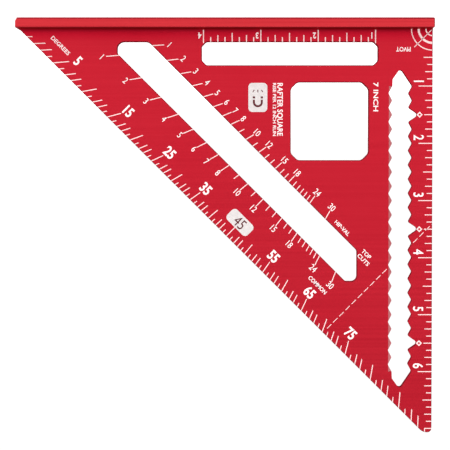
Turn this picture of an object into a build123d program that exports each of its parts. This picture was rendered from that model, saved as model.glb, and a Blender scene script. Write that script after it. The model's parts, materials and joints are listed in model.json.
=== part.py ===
"""Magnetic rafter square (speed square), 7 inch.

A T section of aluminium alloy: a thin right-triangular plate standing on a wide fence.
Four openings pass through the plate, and disc magnets sit in pockets under the fence.

Frame: the square stands on its fence. X runs along the fence, Y through the plate with the
marked front face towards -Y, and Z up from the underside of the fence. The pivot corner and
the inch ruler are at the -X end, where the plate is tallest.
"""

import os

from build123d import *

INCH = 25.4

# ---- Driving dimensions, millimetres ------------------------------------------------------

# Body section
length = 7.25 * INCH
fence_width = 23.0
fence_thickness = 4.35
plate_thickness = 4.8
root_radius = 1.7
fence_base_radius = 0.8
fence_ledge_radius = 0.3
fence_end_radius = 2.0

# Plate outline. Both legs of the triangle have this length, measured from the pivot corner.
leg = 183.5
tip_height = 179.6
tip_outer_radius = 1.9
tip_inner_radius = 4.5
edge_break = 0.3

# Layout slot, parallel to the fence
layout_slot_length = 78.0
layout_slot_width = 10.28
layout_slot_inset = 24.28
layout_slot_height = 5.9
layout_slot_cut = 2.0
layout_slot_radius = 1.2

# Square window
window_size = 34.5
window_inset = 28.4
window_height = 23.75
window_cut = 3.0
window_radius = 2.5

# Diagonal slot, parallel to the hypotenuse. Its long edges are this far in from it.
diagonal_near = 23.2
diagonal_far = 36.5
diagonal_top_height = 112.15
diagonal_end_inset = 139.75
diagonal_ruler_inset = 33.45
diagonal_radii = (3.0, 3.0, 1.0, 1.0, 2.5, 2.0)

# Scribing slot, parallel to the ruler edge, notched on both sides
scribe_inset = 14.24
scribe_half_width = 4.48
scribe_wave = 0.87
scribe_pitch = INCH / 4
scribe_first = 1 * INCH
scribe_last = 6 * INCH
scribe_deep_notches = (1.5 * INCH, 3.5 * INCH, 5.5 * INCH)
scribe_deep_reach = 8.28
scribe_apex_overrun = 7.9
scribe_shoulder = 3.0
scribe_shoulder_reach = 3.5
scribe_notch_radius = 0.9
scribe_deep_radius = 1.15
scribe_end_radius = 1.2
scribe_shoulder_radius = 0.8
scribe_bevel_width = 1.7
scribe_bevel_depth = 0.8
scribe_bevel_margin = 0.2

# Magnets
magnet_diameter = 3 / 8 * INCH
magnet_thickness = 1 / 8 * INCH
magnet_chamfer = 0.25
magnet_recess = 0.2
magnet_pitch = 2 * INCH
magnet_count = 4
bond_side = 0.2
bond_floor = 0.15

# ---- Worked out from them -----------------------------------------------------------------

plate_half = plate_thickness / 2
overall_height = fence_thickness + tip_height
pocket_radius = magnet_diameter / 2 + bond_side
pocket_depth = magnet_recess + magnet_thickness + bond_floor
magnet_places = [(i - (magnet_count - 1) / 2) * magnet_pitch for i in range(magnet_count)]

# Two places closer than this are the same place
TOUCH = 0.01


def at(inset, height):
    """A point of the plate: inset from the ruler edge, height above the fence's inner face."""
    return (inset - length / 2, fence_thickness + height)


def plate_corners():
    """The plate's triangle, with its tip cut flat, and the rounding of each corner."""
    tip_width = leg - tip_height
    corners = [at(0, -fence_thickness), at(0, tip_height), at(tip_width, tip_height)]
    corners += [at(leg, 0), at(leg, -fence_thickness)]
    return corners, [0, tip_outer_radius, tip_inner_radius, 0, 0]


def cut_rectangle_corners(inset, height, across, up, cut):
    """A rectangle of the plate whose four corners are cut off at 45 degrees."""
    far = inset + across
    top = height + up
    return [
        at(inset + cut, height),
        at(far - cut, height),
        at(far, height + cut),
        at(far, top - cut),
        at(far - cut, top),
        at(inset + cut, top),
        at(inset, top - cut),
        at(inset, height + cut),
    ]


def diagonal_slot_corners():
    """The slot between two lines at 45 degrees, with its sharp ends cut square to the legs."""
    near = leg - diagonal_near * 2**0.5
    far = leg - diagonal_far * 2**0.5
    return [
        at(far - layout_slot_height, layout_slot_height),
        at(diagonal_end_inset, layout_slot_height),
        at(diagonal_end_inset, near - diagonal_end_inset),
        at(near - diagonal_top_height, diagonal_top_height),
        at(diagonal_ruler_inset, diagonal_top_height),
        at(diagonal_ruler_inset, far - diagonal_ruler_inset),
    ]


def scribe_slot_corners():
    """The snaking slot: notches on the ruler side face teeth on the other side."""
    corners = [at(scribe_inset, scribe_first - scribe_apex_overrun)]
    radii = [scribe_end_radius]
    half_steps = round((scribe_last - scribe_first) / scribe_pitch * 2)
    # Ruler side: a notch on each quarter inch, deeper on three of them, a tooth between them
    for step in range(half_steps + 1):
        height = scribe_first + step * scribe_pitch / 2
        reach = scribe_half_width + scribe_wave * (1 if step % 2 == 0 else -1)
        deep = any(abs(height - notch) < TOUCH for notch in scribe_deep_notches)
        corners.append(at(scribe_inset - (scribe_deep_reach if deep else reach), height))
        radii.append(scribe_deep_radius if deep else scribe_notch_radius)
    corners.append(at(scribe_inset, scribe_last + scribe_apex_overrun))
    radii.append(scribe_end_radius)
    # Other side: back down, with a tooth across from each notch
    corners.append(at(scribe_inset + scribe_shoulder_reach, scribe_last + scribe_shoulder))
    radii.append(scribe_shoulder_radius)
    for step in range(half_steps, -1, -1):
        height = scribe_first + step * scribe_pitch / 2
        reach = scribe_half_width + scribe_wave * (-1 if step % 2 == 0 else 1)
        corners.append(at(scribe_inset + reach, height))
        radii.append(scribe_notch_radius)
    corners.append(at(scribe_inset + scribe_shoulder_reach, scribe_first - scribe_shoulder))
    radii.append(scribe_shoulder_radius)
    return corners, radii


# ---- Body ---------------------------------------------------------------------------------

with BuildPart() as square_body:
    # The T section runs the whole length, as it leaves the extrusion die
    with BuildSketch(Plane.YZ):
        Rectangle(fence_width, fence_thickness, align=(Align.CENTER, Align.MIN))
        fillet(vertices().group_by(Axis.Y)[0], fence_base_radius)
        fillet(vertices().group_by(Axis.Y)[-1], fence_ledge_radius)
        Rectangle(plate_thickness, overall_height, align=(Align.CENTER, Align.MIN))
        roots = vertices().filter_by(
            lambda v: abs(abs(v.X) - plate_half) < TOUCH and 0 < v.Y < overall_height / 2
        )
        fillet(roots, root_radius)
    extrude(amount=length / 2, both=True)

    # Its outline is the whole fence and the triangle above it
    with BuildSketch(Plane.XZ):
        Rectangle(length, fence_thickness, align=(Align.CENTER, Align.MIN))
        fillet(vertices().group_by(Axis.Y)[0], fence_end_radius)
        corners, radii = plate_corners()
        with BuildLine():
            FilletPolyline(*corners, radius=radii, close=True)
        make_face()
    extrude(amount=fence_width, both=True, mode=Mode.INTERSECT)

    # Layout slot
    with BuildSketch(Plane.XZ):
        corners = cut_rectangle_corners(
            layout_slot_inset,
            layout_slot_height,
            layout_slot_length,
            layout_slot_width,
            layout_slot_cut,
        )
        with BuildLine():
            FilletPolyline(*corners, radius=layout_slot_radius, close=True)
        make_face()
    extrude(amount=fence_width, both=True, mode=Mode.SUBTRACT)

    # Square window
    with BuildSketch(Plane.XZ):
        corners = cut_rectangle_corners(
            window_inset, window_height, window_size, window_size, window_cut
        )
        with BuildLine():
            FilletPolyline(*corners, radius=window_radius, close=True)
        make_face()
    extrude(amount=fence_width, both=True, mode=Mode.SUBTRACT)

    # Diagonal slot
    with BuildSketch(Plane.XZ):
        with BuildLine():
            FilletPolyline(*diagonal_slot_corners(), radius=diagonal_radii, close=True)
        make_face()
    extrude(amount=fence_width, both=True, mode=Mode.SUBTRACT)

    # The rims of those openings and the free edges of the plate are broken
    plate_faces = faces().filter_by(Axis.Y).filter_by(
        lambda face: abs(abs(face.center().Y) - plate_half) < TOUCH
    )
    broken = [edge for face in plate_faces for wire in face.inner_wires() for edge in wire.edges()]
    broken += [
        edge
        for face in plate_faces
        for edge in face.outer_wire().edges()
        if edge.bounding_box().max.Z > fence_thickness + 2 * root_radius
    ]
    chamfer(broken, edge_break)

    # Scribing slot
    with BuildSketch(Plane.XZ):
        corners, radii = scribe_slot_corners()
        with BuildLine():
            FilletPolyline(*corners, radius=radii, close=True)
        make_face()
    extrude(amount=fence_width, both=True, mode=Mode.SUBTRACT)

    # A bevel thins the teeth on the slot's far side, so that a pencil point reaches the work
    bevel_line = scribe_inset + scribe_half_width + scribe_wave - scribe_bevel_margin - length / 2
    bevel_start = fence_thickness + scribe_first
    with BuildSketch(Plane.XY.offset(bevel_start)):
        with BuildLine():
            Polyline(
                (bevel_line, -plate_half),
                (bevel_line - 2 * scribe_bevel_width, -plate_half + 2 * scribe_bevel_depth),
                (bevel_line - 2 * scribe_bevel_width, -plate_half - scribe_bevel_depth),
                (bevel_line, -plate_half - scribe_bevel_depth),
                close=True,
            )
        make_face()
    extrude(amount=scribe_last - scribe_first, mode=Mode.SUBTRACT)

    # Blind pockets in the underside of the fence
    with BuildSketch():
        with Locations(*[(place, 0) for place in magnet_places]):
            Circle(pocket_radius)
    extrude(amount=pocket_depth, mode=Mode.SUBTRACT)

square_body.part.label = "square_body"


# ---- Magnets and the adhesive that holds them ---------------------------------------------


def make_magnet(place):
    """A nickel-plated disc, set back a little from the underside of the fence."""
    with BuildPart() as magnet:
        with BuildSketch(Plane.XY.offset(magnet_recess)):
            with Locations((place, 0)):
                Circle(magnet_diameter / 2)
        extrude(amount=magnet_thickness)
        chamfer(edges().filter_by(GeomType.CIRCLE), magnet_chamfer)
    return magnet


def make_bond(place):
    """The thin cup of set adhesive between a magnet and its pocket."""
    with BuildPart() as bond:
        with BuildSketch(Plane.XY.offset(magnet_recess + magnet_chamfer)):
            with Locations((place, 0)):
                Circle(pocket_radius)
        extrude(amount=pocket_depth - magnet_recess - magnet_chamfer)
        with BuildSketch(Plane.XY.offset(magnet_recess)):
            with Locations((place, 0)):
                Circle(magnet_diameter / 2)
        extrude(amount=magnet_thickness, mode=Mode.SUBTRACT)
    return bond


os.makedirs("parts", exist_ok=True)
export_step(square_body.part, "parts/square_body.step")
for number, place in enumerate(magnet_places, start=1):
    magnet = make_magnet(place)
    magnet.part.label = f"magnet_{number}"
    export_step(magnet.part, f"parts/magnet_{number}.step")
    bond = make_bond(place)
    bond.part.label = f"magnet_bond_{number}"
    export_step(bond.part, f"parts/magnet_bond_{number}.step")
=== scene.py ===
"""Looks for a 7 inch speed square: anodised finish, marked scales, stage, light and camera.

Places on the plate are plate points, in millimetres: how far in from the ruler edge, and how far
up from the inner face of the fence. Angles are in degrees and turn from the first axis to the
second. Sizes of marks are in millimetres too. Places given to Blender are in metres.
"""

import json
import math
from collections import namedtuple

import bmesh
import bpy
from mathutils import Matrix, Vector


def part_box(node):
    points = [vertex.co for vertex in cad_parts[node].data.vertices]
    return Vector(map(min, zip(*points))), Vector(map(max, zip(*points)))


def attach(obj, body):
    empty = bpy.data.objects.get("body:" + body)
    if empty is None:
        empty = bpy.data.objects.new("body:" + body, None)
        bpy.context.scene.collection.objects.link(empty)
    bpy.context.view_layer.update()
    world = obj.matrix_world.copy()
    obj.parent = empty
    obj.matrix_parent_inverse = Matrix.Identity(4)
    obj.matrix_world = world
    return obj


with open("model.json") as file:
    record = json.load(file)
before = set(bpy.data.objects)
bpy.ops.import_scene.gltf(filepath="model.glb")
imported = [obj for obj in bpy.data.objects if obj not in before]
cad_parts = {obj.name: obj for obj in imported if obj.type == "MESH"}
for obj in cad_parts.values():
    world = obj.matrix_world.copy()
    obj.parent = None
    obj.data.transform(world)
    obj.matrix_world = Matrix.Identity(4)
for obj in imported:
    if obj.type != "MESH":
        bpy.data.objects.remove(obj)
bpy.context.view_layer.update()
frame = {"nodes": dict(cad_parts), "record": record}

# ---- The frame, and the rims that ticks start from ------------------------------------------

MM = 0.001
INCH = 25.4
FRONT = -1
BACK = 1

mounts = {mount["name"]: Vector(mount["pos_m"]) for mount in frame["record"]["mounts"]}
body_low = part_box("square_body")[0]
LEDGE = mounts["fence_ledge_front"].z
FACE = abs(mounts["plate_front"].y)
LEG = (mounts["hypotenuse_edge"].x - body_low.x + mounts["hypotenuse_edge"].z - LEDGE) / MM

# As in part.py: the broken edges, the root fillet, and how far the slots are from their rims
EDGE_BREAK = 0.3
ROOT_RADIUS = 1.7
LAYOUT_SLOT_HEIGHT = 5.9
DIAGONAL_NEAR = 23.2
DIAGONAL_FAR = 36.5

RIGHT = Vector((1, 0))
UP = Vector((0, 1))
DIAGONAL = Vector((1, 1)).normalized()
CORNER = Vector((0, 0))

# Where the rays of the degree scale and of the two pitch scales meet, beside the corner
PIVOT = Vector((0, 0.46))
PITCH_PIVOT = Vector((-0.2, 0.2))

# The ways that text is read
ALONG_FENCE = 0
UP_RULER = 90
ALONG_HYPOTENUSE = 135

# A rim: a point on it, and the way from it into the metal
Rim = namedtuple("Rim", "point inward")
RULER = Rim(CORNER, RIGHT)
HYPOTENUSE = Rim(Vector((LEG, 0)), -DIAGONAL)
LAYOUT = Rim(Vector((0, LAYOUT_SLOT_HEIGHT)), -UP)
COMMON = Rim(HYPOTENUSE.point - DIAGONAL * DIAGONAL_NEAR, DIAGONAL)
HIP_VALLEY = Rim(HYPOTENUSE.point - DIAGONAL * DIAGONAL_FAR, -DIAGONAL)

# ---- Marks: thin inlays, as closed forms ----------------------------------------------------

# How far they stand out of the face, and how far they go into it
PROUD = 0.03
SUNK = 0.03

TICK_WIDTH = 0.37
LAYOUT_TICK_WIDTH = 0.47
DASH_WIDTH = 0.28
TICK_STEPS = 6
PANEL_CORNER_RADIUS = 1.8
PANEL_CORNER_STEPS = 8


def spot(point, rise, side=FRONT):
    """The place, in metres, of a plate point so many millimetres out of the face. Low down, the
    face curves out into the fence."""
    if point.y < ROOT_RADIUS:
        rise += ROOT_RADIUS - math.sqrt(ROOT_RADIUS**2 - (ROOT_RADIUS - point.y) ** 2)
    return Vector((body_low.x + point.x * MM, side * (FACE + rise * MM), LEDGE + point.y * MM))


def heading(degrees):
    """The direction at an angle on the plate."""
    return Vector((math.cos(math.radians(degrees)), math.sin(math.radians(degrees))))


def left_of(direction):
    """The direction a quarter turn on."""
    return Vector((-direction.y, direction.x))


def on_line(direction, rim, depth, through=PIVOT):
    """Where the line through a point is so deep inside a rim."""
    target = rim.point + rim.inward * depth
    return through + direction * ((target - through).dot(rim.inward) / direction.dot(rim.inward))


def loft(shape, rings, closed=False):
    """Skins rings of places into a closed form: capped at both ends, or joined round."""
    rings = [[shape.verts.new(place) for place in ring] for ring in rings]
    for near, far in zip(rings, rings[1:] + rings[:1] if closed else rings[1:]):
        for i in range(len(near)):
            shape.faces.new((near[i - 1], near[i], far[i], far[i - 1]))
    if not closed:
        shape.faces.new(rings[0])
        shape.faces.new(rings[-1])


def bar(middle, half, top, bottom, side):
    """The four corners of a line's cross-section."""
    return [
        spot(middle + half, top, side),
        spot(middle - half, top, side),
        spot(middle - half, bottom, side),
        spot(middle + half, bottom, side),
    ]


def tick(shape, rim, direction, depth, through=PIVOT, start=0.0, side=FRONT, width=TICK_WIDTH):
    """A tick along a line, from the rim to a depth, with both ends parallel to the rim.
    One that starts at the rim runs down over its chamfer."""
    half = left_of(rim.inward) * (width / 2 / abs(direction.dot(rim.inward)))
    stations = []
    if start == 0:
        stations = [(PROUD, PROUD * 2 - EDGE_BREAK)]
        start = EDGE_BREAK + PROUD
    for i in range(TICK_STEPS + 1):
        stations.append((start + (depth - start) * i / TICK_STEPS, PROUD))
    rings = [
        bar(on_line(direction, rim, reach, through), half, top, top - PROUD - SUNK, side)
        for reach, top in stations
    ]
    loft(shape, rings)


def ribbon(shape, path, width, closed=False, lift=0.0, side=FRONT):
    """A line of even width along plate points, with mitred corners."""
    rings = []
    for i, point in enumerate(path):
        inner = closed or 0 < i < len(path) - 1
        before = path[i - 1] if inner or i else point * 2 - path[1]
        after = path[(i + 1) % len(path)] if inner or not i else point * 2 - path[i - 1]
        coming = (point - before).normalized()
        going = (after - point).normalized()
        across = left_of(coming + going).normalized()
        half = across * (width / 2 / across.dot(left_of(coming)))
        rings.append(bar(point, half, PROUD + lift, lift - SUNK, side))
    loft(shape, rings, closed)


def arc(centre, radius, start, end, steps):
    """Plate points round an arc."""
    turns = [start + (end - start) * i / steps for i in range(steps + 1)]
    return [centre + heading(turn) * radius for turn in turns]


def panel(shape, centre, length, width, angle):
    """A filled rectangle with round corners, its length along an angle."""
    radius = PANEL_CORNER_RADIUS
    along = heading(angle)
    outline = []
    for quarter in range(4):
        sign_along = 1 if quarter in (0, 3) else -1
        sign_across = 1 if quarter < 2 else -1
        corner = centre + along * (sign_along * (length / 2 - radius))
        corner += left_of(along) * (sign_across * (width / 2 - radius))
        start = angle + quarter * 90
        outline += arc(corner, radius, start, start + 90, PANEL_CORNER_STEPS)
    loft(shape, [[spot(point, rise) for point in outline] for rise in (-SUNK, PROUD)])


# ---- Lettering ------------------------------------------------------------------------------

CAP = 0.729  # the font's own capital height, at size 1
CONDENSE = 0.8  # the numerals' width against the font's own
CURVE_STEPS = 3

# How far the outline grows each way, at size 1
BOLD = 0.026
WORD_BOLD = 0.016


def letter_mesh(text, bold):
    """The text as a closed mesh one unit deep, at the font's own size, in bold outline."""
    curve = bpy.data.curves.new("lettering", "FONT")
    curve.body = text
    curve.offset = bold
    curve.extrude = 0.5
    curve.resolution_u = CURVE_STEPS
    carrier = bpy.data.objects.new("lettering", curve)
    bpy.context.scene.collection.objects.link(carrier)
    view = bpy.context.evaluated_depsgraph_get()
    mesh = bpy.data.meshes.new_from_object(carrier.evaluated_get(view))
    bpy.data.objects.remove(carrier)
    bpy.data.curves.remove(curve)
    return mesh


def lettering(shape, text, centre, cap, angle, length=None, bold=BOLD, lift=0.0, side=FRONT):
    """Text centred on a plate point, read along an angle, as tall as cap. It is fitted to a
    length, or condensed like the numerals."""
    mesh = letter_mesh(text, bold)
    across = [vertex.co.x for vertex in mesh.vertices]
    low, high = min(across), max(across)
    tall = cap / (CAP + 2 * bold)
    wide = length / (high - low) if length else tall * CONDENSE
    deep = PROUD + SUNK
    # Centre the glyphs, and put their backs in the metal and their fronts out of it
    shift = Matrix.Translation((-(low + high) / 2, -CAP / 2, 0.5))
    scale = Matrix.Diagonal((wide * MM, tall * MM, deep * MM, 1))
    reading = heading(angle) * -side
    upward = left_of(heading(angle))
    turn = Matrix(((reading.x, upward.x, 0), (0, 0, side), (reading.y, upward.y, 0))).to_4x4()
    place = Matrix.Translation(spot(centre, lift - SUNK, side))
    mesh.transform(place @ turn @ scale @ shift)
    shape.from_mesh(mesh)
    bpy.data.meshes.remove(mesh)


# ---- Materials ------------------------------------------------------------------------------

# Most of what a noise gives lies between these
NOISE_LOW = 0.3
NOISE_HIGH = 0.7

# The range over which the die lines of the plate go from dark to light is wider
LINES_LOW = 0.25
LINES_HIGH = 0.75

# The fine grain of the metal, in cycles a metre
GRAIN = (5200, 5200, 5200)

# Where masks start and where they are full: the size of a part of the surface direction, how far
# past the root fillets they start, and the height above the ledge, for the painted shade near the
# root and for the fence's colour with its painted sheen
FACE_ON = (0.95, 0.995)
LEVEL = (0.93, 0.98)
LENGTHWISE = (0.35, 0.25)
BEVEL_SIDEWAYS = (0.30, 0.38)
BEVEL_FACE_ON = (0.80, 0.86)
ROOT_MARGIN = 1.1
# Painted shade near the root: none from 7 mm above the ledge, full from 1.5 mm
PAINTED_SHADE_HEIGHTS = (7 * MM, 1.5 * MM)
# The fence's colour, lighter and pinker as a painted sheen: none from 0.3 mm above the ledge,
# full from 0.1 mm below it
FENCE_HEIGHTS = (0.3 * MM, -0.1 * MM)

# The colour sockets of a Mix node, which share their names with its number sockets
COLOUR_A = 6
COLOUR_B = 7
COLOUR_RESULT = 2


def new_material(name, settings):
    """A Principled material with its constant values on the shader's own sockets."""
    material = bpy.data.materials.new(name)
    material.use_nodes = True
    shader = material.node_tree.nodes["Principled BSDF"]
    for socket, value in settings.items():
        shader.inputs[socket].default_value = value
    return material, shader


def noise(material, per_metre, detail=3.0, seed=0.0):
    """Noise in the object's own space, with so many cycles a metre along X, Y and Z."""
    nodes = material.node_tree.nodes
    links = material.node_tree.links
    place = nodes.new("ShaderNodeTexCoord")
    mapping = nodes.new("ShaderNodeMapping")
    texture = nodes.new("ShaderNodeTexNoise")
    mapping.inputs["Scale"].default_value = per_metre
    mapping.inputs["Location"].default_value = (seed, seed, seed)
    texture.inputs["Scale"].default_value = 1.0
    texture.inputs["Detail"].default_value = detail
    links.new(place.outputs["Object"], mapping.inputs["Vector"])
    links.new(mapping.outputs["Vector"], texture.inputs["Vector"])
    return texture.outputs["Fac"]


def ramp(material, source, dark, light, low=NOISE_LOW, high=NOISE_HIGH):
    """Colours from dark to light, as the source goes from low to high."""
    node = material.node_tree.nodes.new("ShaderNodeValToRGB")
    node.color_ramp.elements[0].position = low
    node.color_ramp.elements[1].position = high
    node.color_ramp.elements[0].color = (*dark, 1)
    node.color_ramp.elements[1].color = (*light, 1)
    material.node_tree.links.new(source, node.inputs["Fac"])
    return node.outputs["Color"]


def spread(material, source, low, high):
    """A noise's middle range, stretched from low to high."""
    node = material.node_tree.nodes.new("ShaderNodeMapRange")
    node.inputs["From Min"].default_value = NOISE_LOW
    node.inputs["From Max"].default_value = NOISE_HIGH
    node.inputs["To Min"].default_value = low
    node.inputs["To Max"].default_value = high
    material.node_tree.links.new(source, node.inputs["Value"])
    return node.outputs["Result"]


def blend(material, factor, first, second):
    """The first colour where the factor is 0, and the second where it is 1."""
    node = material.node_tree.nodes.new("ShaderNodeMix")
    node.data_type = "RGBA"
    links = material.node_tree.links
    links.new(factor, node.inputs["Factor"])
    links.new(first, node.inputs[COLOUR_A])
    links.new(second, node.inputs[COLOUR_B])
    return node.outputs[COLOUR_RESULT]


def relief(material, shader, layers):
    """Bumps of the given noises and depths, in millimetres, one on another."""
    normal = None
    for source, depth in layers:
        node = material.node_tree.nodes.new("ShaderNodeBump")
        node.inputs["Distance"].default_value = depth * MM
        material.node_tree.links.new(source, node.inputs["Height"])
        if normal:
            material.node_tree.links.new(normal, node.inputs["Normal"])
        normal = node.outputs["Normal"]
    material.node_tree.links.new(normal, shader.inputs["Normal"])


def band(material, source, low, high):
    """1 where the source is at high or beyond, 0 at low."""
    node = material.node_tree.nodes.new("ShaderNodeMapRange")
    node.interpolation_type = "SMOOTHSTEP"
    node.inputs["From Min"].default_value = low
    node.inputs["From Max"].default_value = high
    material.node_tree.links.new(source, node.inputs["Value"])
    return node.outputs["Result"]


def compute(material, operation, first, second=None):
    """What a Math node makes of one or two sources."""
    node = material.node_tree.nodes.new("ShaderNodeMath")
    node.operation = operation
    material.node_tree.links.new(first, node.inputs[0])
    if second:
        material.node_tree.links.new(second, node.inputs[1])
    return node.outputs["Value"]


def parts_of(material, output, axes):
    """The sizes of the named parts of the object's own place or surface direction."""
    nodes = material.node_tree.nodes
    place = nodes.new("ShaderNodeTexCoord")
    split = nodes.new("ShaderNodeSeparateXYZ")
    material.node_tree.links.new(place.outputs[output], split.inputs["Vector"])
    return [compute(material, "ABSOLUTE", split.outputs[axis]) for axis in axes]


def as_extruded(material):
    """1 on the surfaces that come from the extrusion die, 0 on the cut and broken edges."""
    y, z = parts_of(material, "Object", "YZ")
    end_on, face_on, level = parts_of(material, "Normal", "XYZ")
    face = band(material, face_on, *FACE_ON)
    flat = band(material, level, *LEVEL)
    # The root fillets reach this far out of the plate's faces and up from the ledge
    fillet = ROOT_RADIUS * MM
    root = band(material, y, (FACE + fillet) * ROOT_MARGIN, FACE + fillet)
    low = band(material, z, LEDGE + fillet * ROOT_MARGIN, LEDGE + fillet)
    lengthwise = band(material, end_on, *LENGTHWISE)
    fence = compute(material, "MULTIPLY", low, lengthwise)
    fence = compute(material, "MULTIPLY", fence, compute(material, "MAXIMUM", flat, root))
    return compute(material, "MAXIMUM", face, fence)


def on_bevel(material):
    """1 on the shallow bevel of the scribing slot's teeth, and 0 on what is square or steeper."""
    end_on, face_on = parts_of(material, "Normal", "XY")
    sideways = band(material, end_on, *BEVEL_SIDEWAYS)
    return compute(material, "MULTIPLY", sideways, band(material, face_on, *BEVEL_FACE_ON))


def anodised_red():
    """Extruded aluminium, anodised red: die lines along X, strongest on the fence, fine grain and
    faint clouds, with painted shade darkening it near the root and a painted sheen making the
    fence lighter and pinker. Its cut edges are dull and darker with painted shade, and its bevel
    paler with a painted reflection."""
    material, shader = new_material(
        "anodised_red", {"Specular IOR Level": 0.0, "Specular Tint": (0.42, 0.015, 0.030, 1)}
    )
    lines = noise(material, (9, 1400, 1400), 4.0)
    clouds = noise(material, (30, 30, 30), 2.0, seed=3.0)
    grain = noise(material, GRAIN, 2.0)
    wide = (LINES_LOW, LINES_HIGH)
    lined = ramp(material, lines, (0.520, 0.0125, 0.027), (0.550, 0.0155, 0.031), *wide)
    clouded = ramp(material, lines, (0.535, 0.0165, 0.032), (0.565, 0.0215, 0.038), *wide)
    # A darker red: painted shade near the root of the fence
    deep = ramp(material, clouds, (0.515, 0.0065, 0.024), (0.565, 0.0090, 0.030))
    # The fence's die lines, lighter and pinker as a painted sheen
    fence = ramp(material, lines, (0.545, 0.0260, 0.036), (0.655, 0.0410, 0.052))
    # A darker red: painted shade on the cut walls and broken edges
    cut = ramp(material, clouds, (0.17, 0.008, 0.014), (0.24, 0.012, 0.020))
    # A paler pink: a painted reflection on the bevel of the slot's teeth
    bevel = ramp(material, clouds, (0.38, 0.105, 0.115), (0.47, 0.155, 0.165))
    (height,) = parts_of(material, "Object", "Z")
    # Where the painted shade near the root lies
    painted_root_shade = band(material, height, *(LEDGE + reach for reach in PAINTED_SHADE_HEIGHTS))
    # Where the fence's painted sheen lies
    on_fence = band(material, height, *(LEDGE + reach for reach in FENCE_HEIGHTS))
    extruded = as_extruded(material)
    bevelled = on_bevel(material)
    links = material.node_tree.links
    colour = blend(material, painted_root_shade, blend(material, clouds, lined, clouded), deep)
    colour = blend(material, on_fence, colour, fence)
    # Painted shade on what is not extruded: the cut walls and broken edges
    colour = blend(material, extruded, cut, colour)
    # Painted reflection on the bevel of the slot's teeth
    links.new(blend(material, bevelled, colour, bevel), shader.inputs["Base Color"])
    links.new(extruded, shader.inputs["Metallic"])
    links.new(spread(material, lines, 0.38, 0.46), shader.inputs["Roughness"])
    relief(material, shader, [(lines, 0.003), (grain, 0.002)])
    return material


def nickel():
    """Nickel plating with fine scuffs."""
    material, shader = new_material("nickel", {"Metallic": 1.0})
    scuffs = noise(material, (220, 2600, 220), 4.0)
    tarnish = noise(material, (160, 160, 160), 3.0, seed=5.0)
    links = material.node_tree.links
    colour = ramp(material, tarnish, (0.60, 0.58, 0.54), (0.76, 0.75, 0.72))
    links.new(colour, shader.inputs["Base Color"])
    links.new(spread(material, scuffs, 0.16, 0.34), shader.inputs["Roughness"])
    relief(material, shader, [(scuffs, 0.004)])
    return material


def epoxy():
    """Set adhesive, dark and uneven."""
    material, shader = new_material("epoxy", {"Metallic": 0.0})
    lumps = noise(material, (900, 900, 900), 3.0)
    links = material.node_tree.links
    colour = ramp(material, lumps, (0.040, 0.036, 0.032), (0.085, 0.078, 0.070))
    links.new(colour, shader.inputs["Base Color"])
    links.new(spread(material, lumps, 0.35, 0.6), shader.inputs["Roughness"])
    relief(material, shader, [(lumps, 0.03)])
    return material


def marking(name, dark, light):
    """Matt marking, a little mottled, with the grain of the metal under it."""
    material, shader = new_material(name, {"Metallic": 0.0, "Specular IOR Level": 0.3})
    mottle = noise(material, (700, 700, 700), 3.0)
    grain = noise(material, GRAIN, 2.0)
    links = material.node_tree.links
    links.new(ramp(material, mottle, dark, light), shader.inputs["Base Color"])
    links.new(spread(material, mottle, 0.55, 0.75), shader.inputs["Roughness"])
    relief(material, shader, [(grain, 0.003)])
    return material


# Numerals and words, panels, fine lines, and what stands on the panels
WHITE = marking("marking_white", (0.88, 0.80, 0.79), (0.95, 0.89, 0.88))
PANEL = marking("marking_panel", (0.62, 0.58, 0.57), (0.69, 0.65, 0.64))
PINK = marking("marking_fine", (0.88, 0.64, 0.63), (0.94, 0.75, 0.74))
DARK = marking("marking_dark", (0.075, 0.006, 0.010), (0.12, 0.010, 0.015))


def dress_frame():
    """Gives each CAD node its material."""
    finishes = {"body": anodised_red(), "magnet": nickel(), "bond": epoxy()}
    slots = {part["node"]: part["material_slot"] for part in frame["record"]["subparts"]}
    for name, node in frame["nodes"].items():
        node.data.materials.clear()
        node.data.materials.append(finishes[slots[name]])


MERGE_DISTANCE = 0.0002 * MM


def add_marks(name, shape, material=WHITE):
    """Makes the shape one piece, riding on the square."""
    bmesh.ops.remove_doubles(shape, verts=shape.verts, dist=MERGE_DISTANCE)
    bmesh.ops.recalc_face_normals(shape, faces=shape.faces)
    mesh = bpy.data.meshes.new(name)
    shape.to_mesh(mesh)
    shape.free()
    mesh.materials.append(material)
    piece = bpy.data.objects.new(name, mesh)
    bpy.context.scene.collection.objects.link(piece)
    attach(piece, "root")


# ---- Inch scales ----------------------------------------------------------------------------

EIGHTH = INCH / 8

# In inches: where the scribing slot's deep notches are
DEEP_NOTCHES = (1.5, 3.5, 5.5)

# In eighths of an inch: the ticks that each scale starts and ends with
RULER_FIRST = 4
RULER_LAST = 56
LAYOUT_FIRST = 8
LAYOUT_LAST = 32

# Lengths of ticks, for whole, half, quarter and eighth inches
RULER_TICKS = (6.2, 4.1, 3.3, 2.5)
RULER_NOTCH_TICK = 3.7
RULER_LAST_TICK = 3.1
LAYOUT_TICKS = (5.3, 4.0, 3.0, 2.1)
LAYOUT_END_OVERRUN = 0.5

RULER_CAP = 4.75
RULER_BOLD = 0.012
RULER_LABEL_INSET = 6.0
RULER_LABEL_DROP = 2.6
RULER_ONE_DROP = 2.1
LAYOUT_CAP = 2.9
LAYOUT_BOLD = 0.03
LAYOUT_LABEL_SHIFT = 1.65
LAYOUT_LABEL_HEIGHT = 3.15

DIAMOND_INSET = 5.75
DIAMOND_REACH = 0.98
DIAMOND_LINE = 0.52


def by_fraction(eighths, whole, half, quarter, eighth):
    """The length for a tick so many eighths of an inch along."""
    if eighths % 8 == 0:
        return whole
    if eighths % 4 == 0:
        return half
    return quarter if eighths % 2 == 0 else eighth


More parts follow.
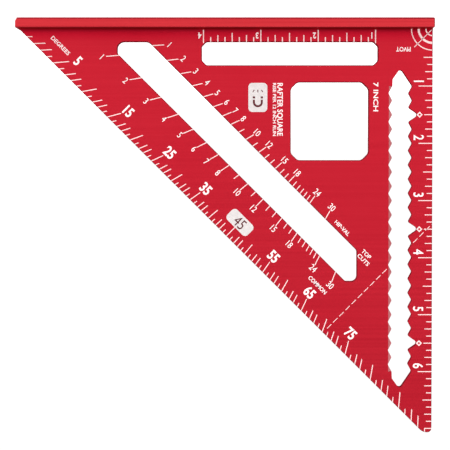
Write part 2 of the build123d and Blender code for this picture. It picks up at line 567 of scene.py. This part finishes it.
def ruler_ticks(side):
    """Eighths of an inch up the ruler edge, from 1/2 in to 7 in."""
    shape = bmesh.new()
    for eighths in range(RULER_FIRST, RULER_LAST + 1):
        depth = by_fraction(eighths, *RULER_TICKS)
        if eighths / 8 in DEEP_NOTCHES:
            depth = RULER_NOTCH_TICK
        if eighths == RULER_LAST:
            depth = RULER_LAST_TICK
        tick(shape, RULER, RIGHT, depth, UP * (eighths * EIGHTH), side=side)
    return shape


def ruler_numerals(side):
    """1 to 6, read up the ruler edge, each just under its tick."""
    shape = bmesh.new()
    for inch in range(1, 7):
        # The middle of the narrow 1 is nearer its tick
        drop = RULER_ONE_DROP if inch == 1 else RULER_LABEL_DROP
        centre = Vector((RULER_LABEL_INSET, inch * INCH - drop))
        lettering(shape, str(inch), centre, RULER_CAP, UP_RULER, bold=RULER_BOLD, side=side)
    return shape


def notch_diamonds():
    """A hollow diamond beside each deep notch of the scribing slot."""
    shape = bmesh.new()
    for inch in DEEP_NOTCHES:
        centre = Vector((DIAMOND_INSET, inch * INCH))
        points = [centre + heading(turn) * DIAMOND_REACH for turn in (0, 90, 180, 270)]
        ribbon(shape, points, DIAMOND_LINE, closed=True)
    return shape


def layout_ticks():
    """Eighths of an inch along the layout slot, from 1 in to 4 in."""
    shape = bmesh.new()
    for eighths in range(LAYOUT_FIRST, LAYOUT_LAST + 1):
        foot = RIGHT * (eighths * EIGHTH)
        depth = by_fraction(eighths, *LAYOUT_TICKS)
        # The first and last run on beside the slot's cut corners
        start = -LAYOUT_END_OVERRUN if eighths in (LAYOUT_FIRST, LAYOUT_LAST) else 0.0
        tick(shape, LAYOUT, UP, depth, foot, start, width=LAYOUT_TICK_WIDTH)
    return shape


def layout_numerals():
    """1 to 4 along the layout slot, each just past its tick."""
    shape = bmesh.new()
    for inch in range(1, 5):
        centre = Vector((inch * INCH + LAYOUT_LABEL_SHIFT, LAYOUT_LABEL_HEIGHT))
        lettering(shape, str(inch), centre, LAYOUT_CAP, ALONG_FENCE, bold=LAYOUT_BOLD)
    return shape


# ---- Angle scales, all on rays from beside the pivot corner ---------------------------------

# Lengths of the ticks at degrees that end in 0 or 5, in 1 or 6, and so on
DEGREE_TICKS = (5.5, 1.8, 3.8, 3.8, 1.8)
DEGREE_CAP = 4.85
DEGREE_LABEL_DEPTH = 8.6
LAST_DEGREE = 89
LAST_DEGREE_START = 0.8
DEGREE_PANEL_LENGTH = 12.8
DEGREE_PANEL_WIDTH = 6.3
DEGREE_PANEL_CAP = 5.0

# Rises in inches for a run in inches. Labelled ones have long ticks, and the others short ones
LABELLED_RISES = (1, 2, 3, 4, 5, 6, 7, 8, 10, 12, 15, 18, 24, 30)
RISES = sorted(set(range(1, 24)) | set(LABELLED_RISES))
COMMON_RUN = 12
HIP_VALLEY_RUN = 17
COMMON_TICKS = (4.45, 2.8)
HIP_VALLEY_TICKS = (4.0, 2.7)
COMMON_LABEL_DEPTH = 17.3
HIP_VALLEY_LABEL_DEPTH = 42.3
PITCH_CAP = 2.95
PITCH_BOLD = 0.004


def degree_ticks(side):
    """1 to 89 degrees along the hypotenuse."""
    shape = bmesh.new()
    for degree in range(1, LAST_DEGREE + 1):
        depth = DEGREE_TICKS[degree % len(DEGREE_TICKS)]
        # The last one starts inside the rounded tip
        start = LAST_DEGREE_START if degree == LAST_DEGREE else 0.0
        tick(shape, HYPOTENUSE, heading(degree), depth, start=start, side=side)
    return shape


def degree_numerals(side):
    """Every 10 degrees from 5 to 75, but 45 on the front, which has a panel."""
    shape = bmesh.new()
    for degree in range(5, 80, 10):
        if degree == 45 and side == FRONT:
            continue
        centre = on_line(heading(degree), HYPOTENUSE, DEGREE_LABEL_DEPTH)
        lettering(shape, str(degree), centre, DEGREE_CAP, ALONG_HYPOTENUSE, side=side)
    return shape


def degree_panel():
    """The white panel of the 45 degree mark."""
    shape = bmesh.new()
    centre = on_line(heading(45), HYPOTENUSE, DEGREE_LABEL_DEPTH)
    panel(shape, centre, DEGREE_PANEL_LENGTH, DEGREE_PANEL_WIDTH, ALONG_HYPOTENUSE)
    return shape


def degree_panel_numeral():
    """45, dark on its panel."""
    shape = bmesh.new()
    centre = on_line(heading(45), HYPOTENUSE, DEGREE_LABEL_DEPTH)
    lettering(shape, "45", centre, DEGREE_PANEL_CAP, ALONG_HYPOTENUSE, bold=0.0, lift=PROUD)
    return shape


def pitch_heading(rise, run):
    """The direction of a pitch."""
    return heading(math.degrees(math.atan2(rise, run)))


def pitch_ticks(rim, run, long, short):
    """The pitches along one side of the diagonal slot."""
    shape = bmesh.new()
    for rise in RISES:
        depth = long if rise in LABELLED_RISES else short
        tick(shape, rim, pitch_heading(rise, run), depth, PITCH_PIVOT)
    return shape


def pitch_numerals(run, depth):
    """The labelled rises, on their rays, so deep inside the hypotenuse."""
    shape = bmesh.new()
    for rise in LABELLED_RISES:
        centre = on_line(pitch_heading(rise, run), HYPOTENUSE, depth, PITCH_PIVOT)
        lettering(shape, str(rise), centre, PITCH_CAP, ALONG_HYPOTENUSE, bold=PITCH_BOLD)
    return shape


# ---- Pivot and cut line ---------------------------------------------------------------------

# Each ring's radius and width
PIVOT_RINGS = ((EIGHTH, 0.5), (EIGHTH * 2, 0.95), (EIGHTH * 3, 0.42))
RING_STEPS = 60
RING_FENCE_GAP = 0.2
BISECTOR_LINE = 0.32
BISECTOR_START = 0.9
BISECTOR_END = 11.7

# Low down it follows the root fillet in short steps
BISECTOR_STEP = 0.3
BISECTOR_STEPS = 7

# The dashes, by their inset. The line is this much higher than it is far in
CUT_LINE_RISE = 86.5
DASH_FIRST = -1.65
DASH_PITCH = 2.73
DASH_LENGTH = 1.9
DASH_COUNT = 18

# Between these it crosses the scribing slot
SLOT_FROM = 9.3
SLOT_TO = 18.9


def pivot_arcs(side):
    """Quarter rings round the pivot corner, and the line that halves it."""
    shape = bmesh.new()
    for radius, width in PIVOT_RINGS:
        start = math.degrees(RING_FENCE_GAP / radius)
        end = 90 - math.degrees((EDGE_BREAK + PROUD) / radius)
        ribbon(shape, arc(CORNER, radius, start, end, RING_STEPS), width, side=side)
    reaches = [BISECTOR_START + BISECTOR_STEP * i for i in range(BISECTOR_STEPS)]
    bisector = [DIAGONAL * reach for reach in reaches + [BISECTOR_END]]
    ribbon(shape, bisector, BISECTOR_LINE, side=side)
    return shape


def cut_line():
    """The dashed line at 45 degrees from the ruler edge, broken by the scribing slot."""
    shape = bmesh.new()
    for i in range(DASH_COUNT):
        inset = i * DASH_PITCH + DASH_FIRST
        start = max(inset, EDGE_BREAK + PROUD)
        end = inset + DASH_LENGTH
        if end < SLOT_FROM or start > SLOT_TO:
            path = [Vector((place, place + CUT_LINE_RISE)) for place in (start, end)]
            ribbon(shape, path, DASH_WIDTH)
    return shape


# ---- Words and magnet sign ------------------------------------------------------------------

SCALE_WORD_CAP = 1.9
PIVOT_WORD_CAP = 2.1

# The two lines beside the window have one middle and one length
TITLE_HEIGHT = 35.8
TITLE_LENGTH = 23.4

MAGNET_SIGN = Vector((77.5, 30.45))
SIGN_LENGTH = 12.9
SIGN_WIDTH = 8.4
BEND_RISE = 2.15
MAGNET_RADIUS = 1.75
MAGNET_LINE = 0.9
MAGNET_BEND_STEPS = 16

# Down from the bend's ends: where the legs stop, and where the poles start and stop
LEG_END = 1.15
POLE_START = 1.7
POLE_END = 2.6
POLE_LINE = 1.0

# The three short lines past the poles
FORCE_DROP = 2.85
FORCE_SPACING = 1.9
FORCE_TILT = 30
FORCE_HALF = 0.6
FORCE_LINE = 0.4


def words(shape, text, inset, height, cap, angle, length):
    """Plain words, centred on a place and fitted to a length."""
    lettering(shape, text, Vector((inset, height)), cap, angle, length, WORD_BOLD)


def scale_words():
    """What each scale is called."""
    shape = bmesh.new()
    words(shape, "DEGREES", 164.9, 7.5, SCALE_WORD_CAP, ALONG_HYPOTENUSE, 10.7)
    words(shape, "COMMON", 50.9, 113.7, SCALE_WORD_CAP, ALONG_HYPOTENUSE, 10.4)
    words(shape, "HIP-VAL", 39.9, 88.4, SCALE_WORD_CAP, ALONG_HYPOTENUSE, 8.6)
    words(shape, "TOP", 29.2, 100.0, SCALE_WORD_CAP, ALONG_HYPOTENUSE, 4.9)
    words(shape, "CUTS", 30.5, 102.5, SCALE_WORD_CAP, ALONG_HYPOTENUSE, 6.5)
    words(shape, "PIVOT", 13.05, 9.2, PIVOT_WORD_CAP, ALONG_FENCE, 6.5)
    return shape


def title_lines():
    """Generic words beside the window: what the tool is, how its pitches read, and its size."""
    shape = bmesh.new()
    words(shape, "RAFTER SQUARE", 67.6, TITLE_HEIGHT, 2.6, UP_RULER, TITLE_LENGTH)
    words(shape, "RISE PER 12 INCH RUN", 70.1, TITLE_HEIGHT, 1.5, UP_RULER, TITLE_LENGTH)
    words(shape, "7 INCH", 25.15, 30.2, 2.3, UP_RULER, 12.8)
    return shape


def magnet_panel():
    """The white panel behind the magnet sign."""
    shape = bmesh.new()
    panel(shape, MAGNET_SIGN, SIGN_LENGTH, SIGN_WIDTH, UP_RULER)
    return shape


def magnet_sign():
    """A horseshoe magnet with square poles, and three short lines past them."""
    shape = bmesh.new()
    bend = arc(MAGNET_SIGN + UP * BEND_RISE, MAGNET_RADIUS, 0, 180, MAGNET_BEND_STEPS)
    ends = (bend[0], bend[-1])
    path = [ends[0] - UP * LEG_END] + bend + [ends[1] - UP * LEG_END]
    ribbon(shape, path, MAGNET_LINE, lift=PROUD)
    for end in ends:
        ribbon(shape, [end - UP * POLE_START, end - UP * POLE_END], POLE_LINE, lift=PROUD)
    for place in (1, 0, -1):
        middle = MAGNET_SIGN + Vector((place * FORCE_SPACING, -FORCE_DROP))
        half = heading(90 - place * FORCE_TILT) * FORCE_HALF
        ribbon(shape, [middle - half, middle + half], FORCE_LINE, lift=PROUD)
    return shape


def mark_the_square():
    """Every marking on both faces."""
    add_marks("ruler_ticks", ruler_ticks(FRONT), PINK)
    add_marks("ruler_numerals", ruler_numerals(FRONT))
    add_marks("notch_diamonds", notch_diamonds(), PINK)
    add_marks("layout_ticks", layout_ticks(), PINK)
    add_marks("layout_numerals", layout_numerals())
    add_marks("degree_ticks", degree_ticks(FRONT), PINK)
    add_marks("degree_numerals", degree_numerals(FRONT))
    add_marks("degree_panel", degree_panel(), PANEL)
    add_marks("degree_panel_numeral", degree_panel_numeral(), DARK)
    add_marks("common_ticks", pitch_ticks(COMMON, COMMON_RUN, *COMMON_TICKS), PINK)
    add_marks("common_numerals", pitch_numerals(COMMON_RUN, COMMON_LABEL_DEPTH))
    hip_valley_ticks = pitch_ticks(HIP_VALLEY, HIP_VALLEY_RUN, *HIP_VALLEY_TICKS)
    add_marks("hip_valley_ticks", hip_valley_ticks, PINK)
    add_marks("hip_valley_numerals", pitch_numerals(HIP_VALLEY_RUN, HIP_VALLEY_LABEL_DEPTH))
    add_marks("pivot_arcs", pivot_arcs(FRONT), PINK)
    add_marks("cut_line", cut_line(), PINK)
    add_marks("scale_words", scale_words())
    add_marks("title_lines", title_lines())
    add_marks("magnet_panel", magnet_panel(), PANEL)
    add_marks("magnet_sign", magnet_sign(), DARK)
    add_marks("back_ruler_ticks", ruler_ticks(BACK), PINK)
    add_marks("back_ruler_numerals", ruler_numerals(BACK))
    add_marks("back_degree_ticks", degree_ticks(BACK), PINK)
    add_marks("back_degree_numerals", degree_numerals(BACK))
    add_marks("back_pivot_arcs", pivot_arcs(BACK), PINK)


# ---- Stage, light and camera ----------------------------------------------------------------

FLOOR_RADIUS = 6.0
FLOOR_SEGMENTS = 64
FLOOR_DROP = 0.2 * MM
FLOOR_GLOW = 0.82

# How strong the world is at and under the horizon, above the fade, and to look at
WORLD_HORIZON = 0.85
WORLD_OVERHEAD = 0.45
WORLD_SEEN = 1.05
WORLD_FADE_END = 0.25

# The soft boxes: how far off, how high, what height they aim at, their size and watts
LIGHT_ACROSS = 1.3
LIGHT_OUT = 1.1
LIGHT_HEIGHT = 0.45
LIGHT_AIM = 0.09
LIGHT_SIZE = 0.8
LIGHT_POWER = 10

# Sensor and lens are in millimetres
CAMERA_SENSOR = 36
CAMERA_LENS = 159.5
CAMERA_PLACE = Vector((0, -0.8878, 0.06045))
CAMERA_TARGET = Vector((0, -FACE, 0.0914))


def add_floor():
    """A wide pale floor just under the fence. It glows, so shadows stay faint, and it is clear
    from below, so the underside can be looked at."""
    material, shader = new_material(
        "floor",
        {
            "Base Color": (0.8, 0.8, 0.8, 1),
            "Roughness": 0.9,
            "Emission Color": (1, 1, 1, 1),
            "Emission Strength": FLOOR_GLOW,
        },
    )
    nodes = material.node_tree.nodes
    links = material.node_tree.links
    facing = nodes.new("ShaderNodeNewGeometry")
    clear = nodes.new("ShaderNodeBsdfTransparent")
    either = nodes.new("ShaderNodeMixShader")
    links.new(facing.outputs["Backfacing"], either.inputs["Fac"])
    links.new(shader.outputs["BSDF"], either.inputs[1])
    links.new(clear.outputs["BSDF"], either.inputs[2])
    links.new(either.outputs["Shader"], nodes["Material Output"].inputs["Surface"])
    shape = bmesh.new()
    bmesh.ops.create_circle(shape, cap_ends=True, segments=FLOOR_SEGMENTS, radius=FLOOR_RADIUS)
    mesh = bpy.data.meshes.new("floor")
    shape.to_mesh(mesh)
    shape.free()
    mesh.materials.append(material)
    floor = bpy.data.objects.new("floor", mesh)
    floor.location.z = -FLOOR_DROP
    bpy.context.scene.collection.objects.link(floor)


def add_world():
    """White to look at. Its light is white at the horizon and softer overhead."""
    world = bpy.data.worlds.new("studio")
    world.use_nodes = True
    nodes = world.node_tree.nodes
    links = world.node_tree.links
    way = nodes.new("ShaderNodeTexCoord")
    split = nodes.new("ShaderNodeSeparateXYZ")
    fade = nodes.new("ShaderNodeMapRange")
    seen = nodes.new("ShaderNodeLightPath")
    pick = nodes.new("ShaderNodeMix")
    fade.inputs["From Min"].default_value = 0.0
    fade.inputs["From Max"].default_value = WORLD_FADE_END
    fade.inputs["To Min"].default_value = WORLD_HORIZON
    fade.inputs["To Max"].default_value = WORLD_OVERHEAD
    pick.inputs["B"].default_value = WORLD_SEEN
    nodes["Background"].inputs["Color"].default_value = (1, 1, 1, 1)
    links.new(way.outputs["Generated"], split.inputs["Vector"])
    links.new(split.outputs["Z"], fade.inputs["Value"])
    links.new(fade.outputs["Result"], pick.inputs["A"])
    links.new(seen.outputs["Is Camera Ray"], pick.inputs["Factor"])
    links.new(pick.outputs["Result"], nodes["Background"].inputs["Strength"])
    bpy.context.scene.world = world


def add_light(name, place, target):
    """A square soft box."""
    data = bpy.data.lights.new(name, "AREA")
    data.shape = "SQUARE"
    data.size = LIGHT_SIZE
    data.energy = LIGHT_POWER
    light = bpy.data.objects.new(name, data)
    light.location = place
    light.rotation_euler = (target - place).to_track_quat("-Z", "Y").to_euler()
    bpy.context.scene.collection.objects.link(light)


def add_lights():
    """A soft box off each corner, clear of what either face mirrors straight back."""
    for ending, side in (("", FRONT), ("_back", BACK)):
        for name, x in (("left", -1), ("right", 1)):
            place = Vector((x * LIGHT_ACROSS, side * LIGHT_OUT, LIGHT_HEIGHT))
            add_light("soft_box_" + name + ending, place, Vector((0, 0, LIGHT_AIM)))


def add_camera():
    """Nearly square on to the marked face, and upside down: the fence is at the top."""
    data = bpy.data.cameras.new("camera")
    data.sensor_width = CAMERA_SENSOR
    data.lens = CAMERA_LENS
    camera = bpy.data.objects.new("camera", data)
    aim = (CAMERA_TARGET - CAMERA_PLACE).to_track_quat("-Z", "Y")
    camera.rotation_mode = "QUATERNION"
    camera.rotation_quaternion = aim @ Matrix.Rotation(math.pi, 3, "Z").to_quaternion()
    camera.location = CAMERA_PLACE
    bpy.context.scene.collection.objects.link(camera)
    bpy.context.scene.camera = camera


dress_frame()
mark_the_square()
add_floor()
add_world()
add_lights()
add_camera()
bpy.context.scene.view_settings.view_transform = "Standard"
